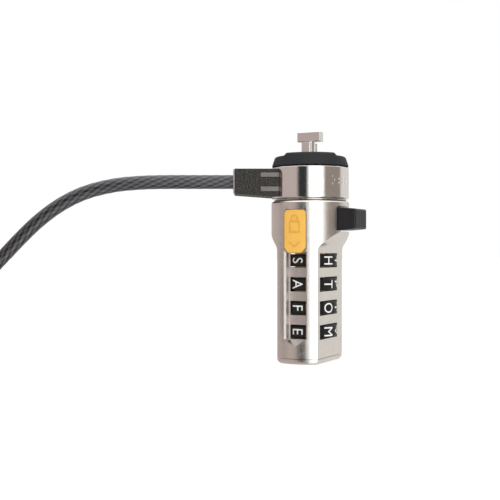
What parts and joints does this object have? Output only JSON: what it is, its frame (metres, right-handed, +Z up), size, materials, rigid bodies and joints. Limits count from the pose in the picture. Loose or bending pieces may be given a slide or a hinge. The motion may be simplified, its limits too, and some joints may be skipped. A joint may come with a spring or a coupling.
{
  "type": "laptop cable lock",
  "caption": "Combination cable lock for a laptop security slot: letter dials, a thumb lever that turns the T-bar, and a coiled steel cable on a swivel arm.",
  "frame": {"origin": "centre of the flat base of the lock body, on the lock's long axis", "axes": "+Z up the lock's axis from the base to the T-bar; the cable arm points along -X; the reading side of the dials faces towards -Y, turned 26.6 degrees towards -X"},
  "size_m": [0.1739, 0.0828, 0.0649],
  "materials": {
    "nickel": "satin nickel plate on die-cast zinc",
    "chrome": "bright chrome plate",
    "steel": "machined steel",
    "spring_steel": "blued spring steel",
    "cast_metal": "raw zinc casting",
    "brass": "turned brass",
    "rubber": "black moulded rubber",
    "black_plastic": "black moulded plastic",
    "yellow_plastic": "yellow moulded plastic",
    "cable_sheath": "clear-dark vinyl over twisted steel strands",
    "tie_strap": "black strap"
  },
  "bodies": {
    "lock_body": {"housing": "nickel", "end_cap": "nickel", "base_screw_1": "steel", "base_screw_2": "steel", "core_grub_screw": "steel", "reference_tab": "yellow_plastic", "detent_spring": "spring_steel", "return_spring": "spring_steel", "nose_core": "nickel", "guard_pin_front": "nickel", "guard_pin_rear": "nickel", "retaining_plate": "steel", "plate_screw_1": "steel", "plate_screw_2": "steel", "nose_bumper": "rubber", "swivel_washer": "steel"},
    "lever": {"rotor": "cast_metal", "thumb_lever": "black_plastic", "lever_pin": "steel", "t_bar": "chrome", "t_bar_pin": "steel"},
    "swivel": {"swivel_collar": "chrome", "cable_anchor": "steel", "anchor_pin": "steel", "cable_run": "cable_sheath", "cable_coil": "cable_sheath", "cable_tail": "cable_sheath", "end_sleeve": "steel", "cable_loop": "cable_sheath", "coil_tie_1": "tie_strap", "coil_tie_2": "tie_strap"},
    "code_slide": {"code_spindle": "steel"},
    "change_screw": {"code_change_screw": "brass"},
    "dial_1": {"letter_dial_1": "black_plastic", "clutch_hub_1": "brass"},
    "dial_2": {"letter_dial_2": "black_plastic", "clutch_hub_2": "brass"},
    "dial_3": {"letter_dial_3": "black_plastic", "clutch_hub_3": "brass"},
    "dial_4": {"letter_dial_4": "black_plastic", "clutch_hub_4": "brass"}
  },
  "joints": [
    {"name": "lever_turn", "type": "hinge", "parent": "lock_body", "child": "lever", "pos_m": [0, 0, 0.04], "axis": [0, 0, 1], "range_deg": [0, 90]},
    {"name": "swivel_turn", "type": "hinge", "parent": "lock_body", "child": "swivel", "pos_m": [0, 0, 0.0508], "axis": [0, 0, 1], "continuous": true},
    {"name": "code_push", "type": "slide", "parent": "lock_body", "child": "code_slide", "axis": [0, 0, -1], "range_m": [0, 0.0012], "deforming": ["return_spring"]},
    {"name": "code_change", "type": "hinge", "parent": "lock_body", "child": "change_screw", "pos_m": [-0.00287, -0.00572, 0.002], "axis": [0, 0, 1], "range_deg": [0, 90]},
    {"name": "dial_1_turn", "type": "hinge", "parent": "lock_body", "child": "dial_1", "pos_m": [0, 0, 0.0286], "axis": [0, 0, 1], "continuous": true},
    {"name": "dial_2_turn", "type": "hinge", "parent": "lock_body", "child": "dial_2", "pos_m": [0, 0, 0.022], "axis": [0, 0, 1], "continuous": true},
    {"name": "dial_3_turn", "type": "hinge", "parent": "lock_body", "child": "dial_3", "pos_m": [0, 0, 0.0154], "axis": [0, 0, 1], "continuous": true},
    {"name": "dial_4_turn", "type": "hinge", "parent": "lock_body", "child": "dial_4", "pos_m": [0, 0, 0.0088], "axis": [0, 0, 1], "continuous": true}
  ],
  "couplings": [
    {"joint": "code_push", "follows": "lever_turn", "m_per_rad": 0.000763}
  ]
}
